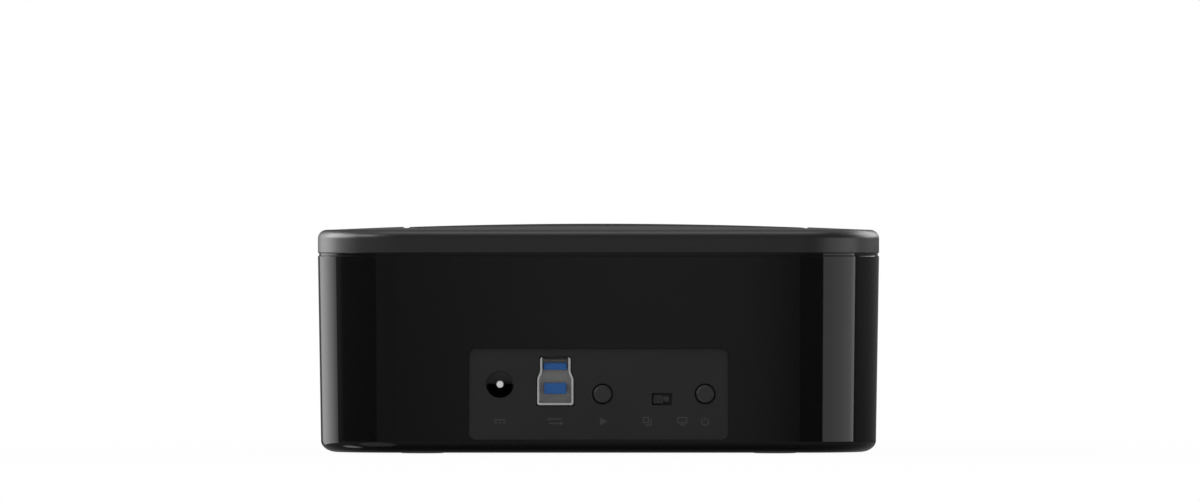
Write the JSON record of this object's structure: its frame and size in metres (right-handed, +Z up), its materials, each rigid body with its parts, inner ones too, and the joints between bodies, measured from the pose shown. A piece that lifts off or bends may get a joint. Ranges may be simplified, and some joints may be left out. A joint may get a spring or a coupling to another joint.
{
  "type": "drive duplicator",
  "caption": "Free-standing desktop drive duplicator with two upright bays for bare drives, sprung dust flaps, and power, data and controls on the back.",
  "frame": {"origin": "middle of the footprint, on the table under the rubber feet", "axes": "+X along the long side, +Y out of the back with the sockets, +Z up"},
  "size_m": [0.153, 0.097, 0.0625],
  "materials": {
    "gloss_housing": "high gloss black, moulded and polished",
    "satin_cover": "satin dark grey, very fine texture",
    "satin_bezel": "satin black",
    "matte_base": "matte black, spark-eroded texture",
    "matte_panel": "matte black",
    "well_black": "matte black",
    "flap_black": "fine matte black",
    "button_black": "satin black",
    "knob_black": "satin black, ribbed",
    "plunger_black": "matte black",
    "connector_black": "matte black, glass filled",
    "usb_blue": "satin blue",
    "usb_shell_steel": "drawn and tin plated",
    "switch_steel": "stamped and plated",
    "screw_steel": "black nickel",
    "pin_steel": "ground",
    "spring_steel": "drawn wire",
    "crystal_steel": "pressed can",
    "pin_nickel": "nickel plated",
    "contact_gold": "gold flash",
    "board_laminate": "green solder mask over laminate",
    "chip_black": "moulded epoxy",
    "inductor_black": "ferrite",
    "capacitor_aluminium": "plain can",
    "led_white": "clear resin over white",
    "clear_light_pipe": "clear acrylic",
    "foot_rubber": "soft matte black"
  },
  "bodies": {
    "chassis": {"base_plate": "matte_base", "board_screws": "screw_steel", "bridge_controller": "chip_black", "capacitor_1": "capacitor_aluminium", "capacitor_2": "capacitor_aluminium", "capacitor_3": "capacitor_aluminium", "case_screws": "screw_steel", "crystal": "crystal_steel", "dc_inlet_body": "connector_black", "dc_inlet_leaf": "contact_gold", "dc_inlet_pin": "pin_nickel", "drive_socket_front": "connector_black", "drive_socket_rear": "connector_black", "drive_well_front": "well_black", "drive_well_rear": "well_black", "firmware_chip": "chip_black", "flap_spring_narrow_front": "spring_steel", "flap_spring_narrow_rear": "spring_steel", "flap_spring_wide_front": "spring_steel", "flap_spring_wide_rear": "spring_steel", "foot_front_left": "foot_rubber", "foot_front_right": "foot_rubber", "foot_rear_left": "foot_rubber", "foot_rear_right": "foot_rubber", "hinge_pin_front": "pin_steel", "hinge_pin_rear": "pin_steel", "indicator_leds": "led_white", "light_pipe": "clear_light_pipe", "main_board": "board_laminate", "main_housing": "gloss_housing", "mode_switch_body": "switch_steel", "power_inductor_1": "inductor_black", "power_inductor_2": "inductor_black", "power_switch_body": "switch_steel", "rear_io_plate": "matte_panel", "slot_bezel": "satin_bezel", "socket_contacts_front": "contact_gold", "socket_contacts_rear": "contact_gold", "start_switch_body": "switch_steel", "top_cover": "satin_cover", "usb_contacts": "contact_gold", "usb_insulator": "usb_blue", "usb_shell": "usb_shell_steel"},
    "flap_wide_rear": {"flap_wide_rear": "flap_black"},
    "flap_narrow_rear": {"flap_narrow_rear": "flap_black"},
    "flap_wide_front": {"flap_wide_front": "flap_black"},
    "flap_narrow_front": {"flap_narrow_front": "flap_black"},
    "start_key": {"start_button": "button_black", "start_plunger": "plunger_black"},
    "power_key": {"power_button": "button_black", "power_plunger": "plunger_black"},
    "mode_knob": {"mode_switch_knob": "knob_black"}
  },
  "joints": [
    {"name": "flap_wide_rear_hinge", "type": "hinge", "parent": "chassis", "child": "flap_wide_rear", "pos_m": [-0.01495, -0.00229, 0.0556], "axis": [-1, 0, 0], "range_deg": [0, 90], "stiffness_Nm_per_rad": 0.002, "springref_deg": -51.57},
    {"name": "flap_narrow_rear_hinge", "type": "hinge", "parent": "chassis", "child": "flap_narrow_rear", "pos_m": [0.03845, -0.00229, 0.0556], "axis": [-1, 0, 0], "range_deg": [0, 90], "stiffness_Nm_per_rad": 0.002, "springref_deg": -51.57},
    {"name": "flap_wide_front_hinge", "type": "hinge", "parent": "chassis", "child": "flap_wide_front", "pos_m": [-0.01495, -0.03849, 0.0556], "axis": [-1, 0, 0], "range_deg": [0, 90], "stiffness_Nm_per_rad": 0.002, "springref_deg": -51.57},
    {"name": "flap_narrow_front_hinge", "type": "hinge", "parent": "chassis", "child": "flap_narrow_front", "pos_m": [0.03845, -0.03849, 0.0556], "axis": [-1, 0, 0], "range_deg": [0, 90], "stiffness_Nm_per_rad": 0.002, "springref_deg": -51.57},
    {"name": "start_press", "type": "slide", "parent": "chassis", "child": "start_key", "axis": [0, -1, 0], "range_m": [0, 0.0005], "stiffness_N_per_m": 2000, "springref_m": -0.0002},
    {"name": "power_press", "type": "slide", "parent": "chassis", "child": "power_key", "axis": [0, -1, 0], "range_m": [0, 0.0005], "stiffness_N_per_m": 2000, "springref_m": -0.0002},
    {"name": "mode_slide", "type": "slide", "parent": "chassis", "child": "mode_knob", "axis": [-1, 0, 0], "range_m": [0, 0.0022]}
  ]
}
